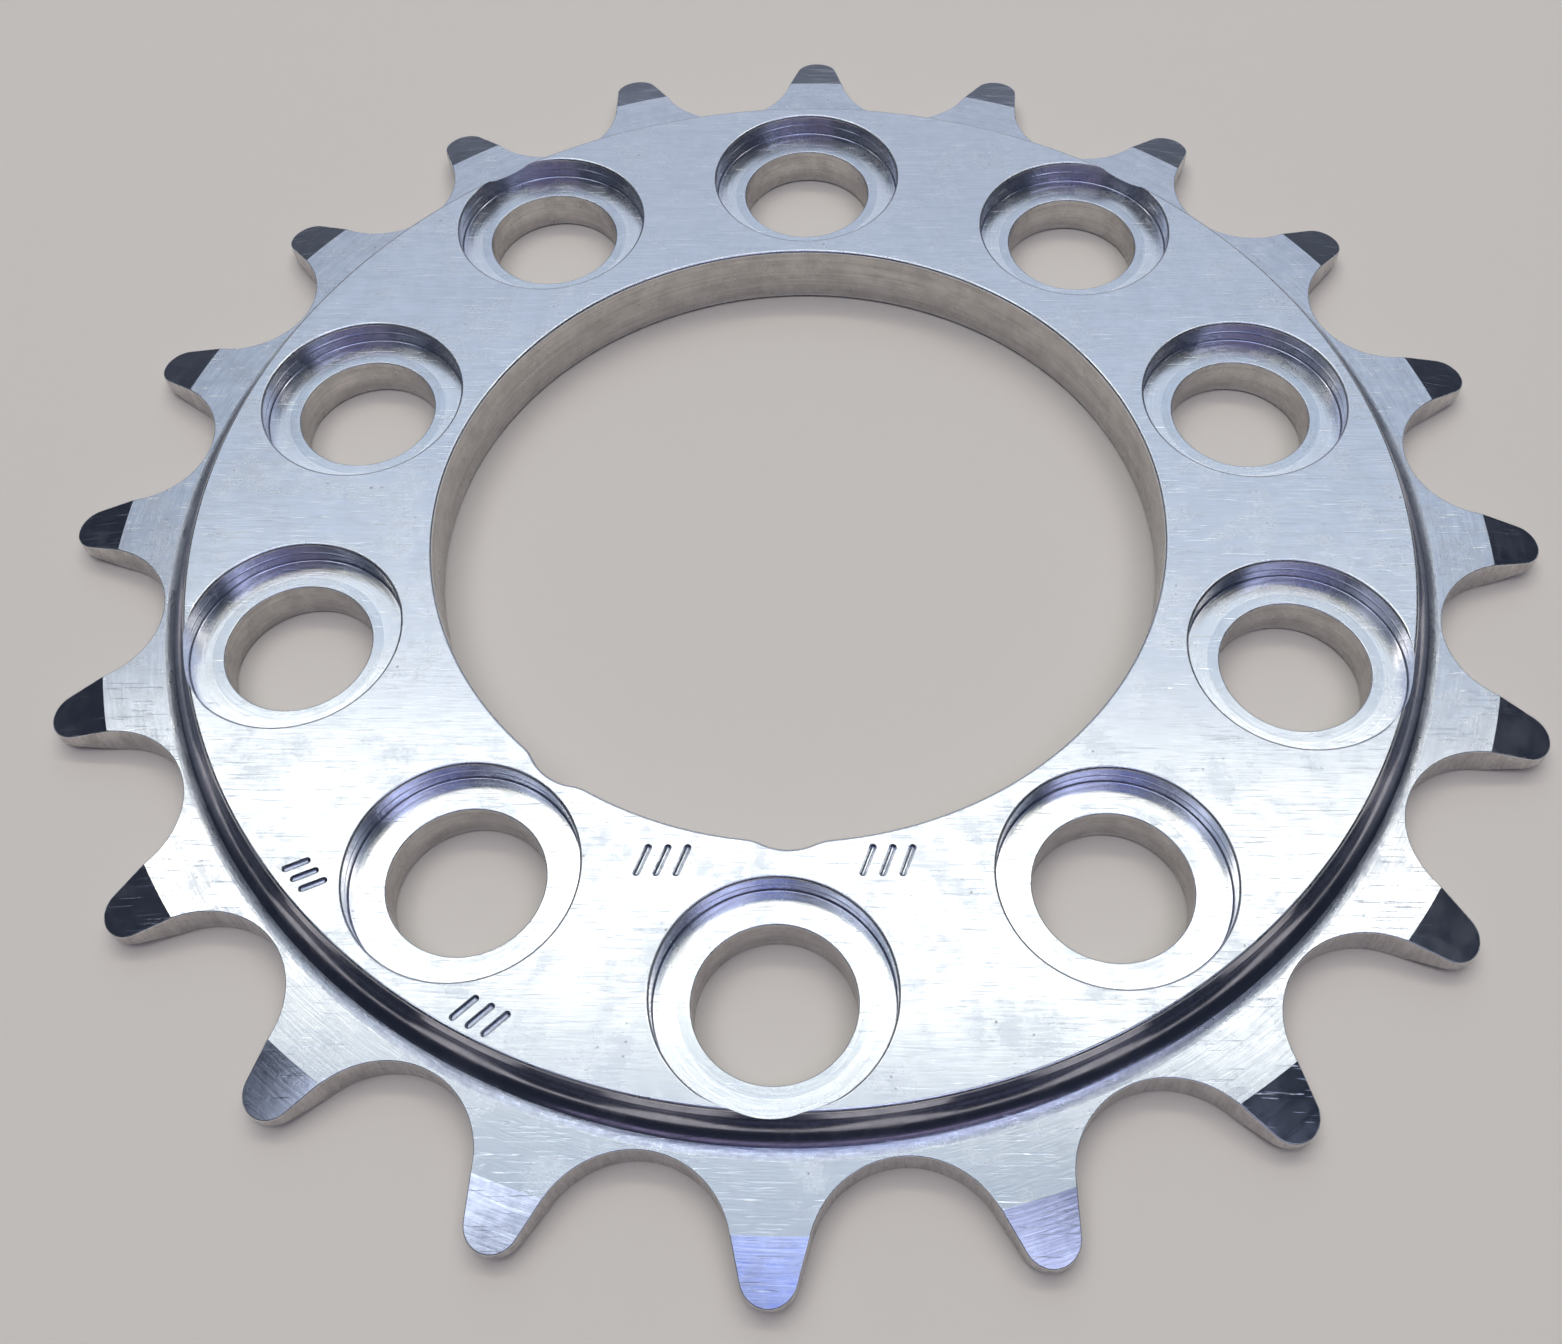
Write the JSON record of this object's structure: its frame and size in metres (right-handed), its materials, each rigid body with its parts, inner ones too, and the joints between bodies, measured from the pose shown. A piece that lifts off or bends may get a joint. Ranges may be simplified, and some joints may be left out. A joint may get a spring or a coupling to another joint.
{
  "type": "chain sprocket",
  "caption": "Flat machined aluminium chain sprocket ring with a large central bore, two circles of counterbored bolt holes and slim bevelled teeth.",
  "frame": {"origin": "centre of the bore on the flat back face, on which the ring lies", "axes": "+Z along the axis of the bore and of the chain's row, from the flat back towards the counterbored face"},
  "size_m": [0.0858, 0.0858, 0.004],
  "materials": {
    "machined_aluminium": "bare, face-milled and turned, with fine tool lines"
  },
  "bodies": {
    "root": {"chain_sprocket": "machined_aluminium"}
  },
  "joints": []
}
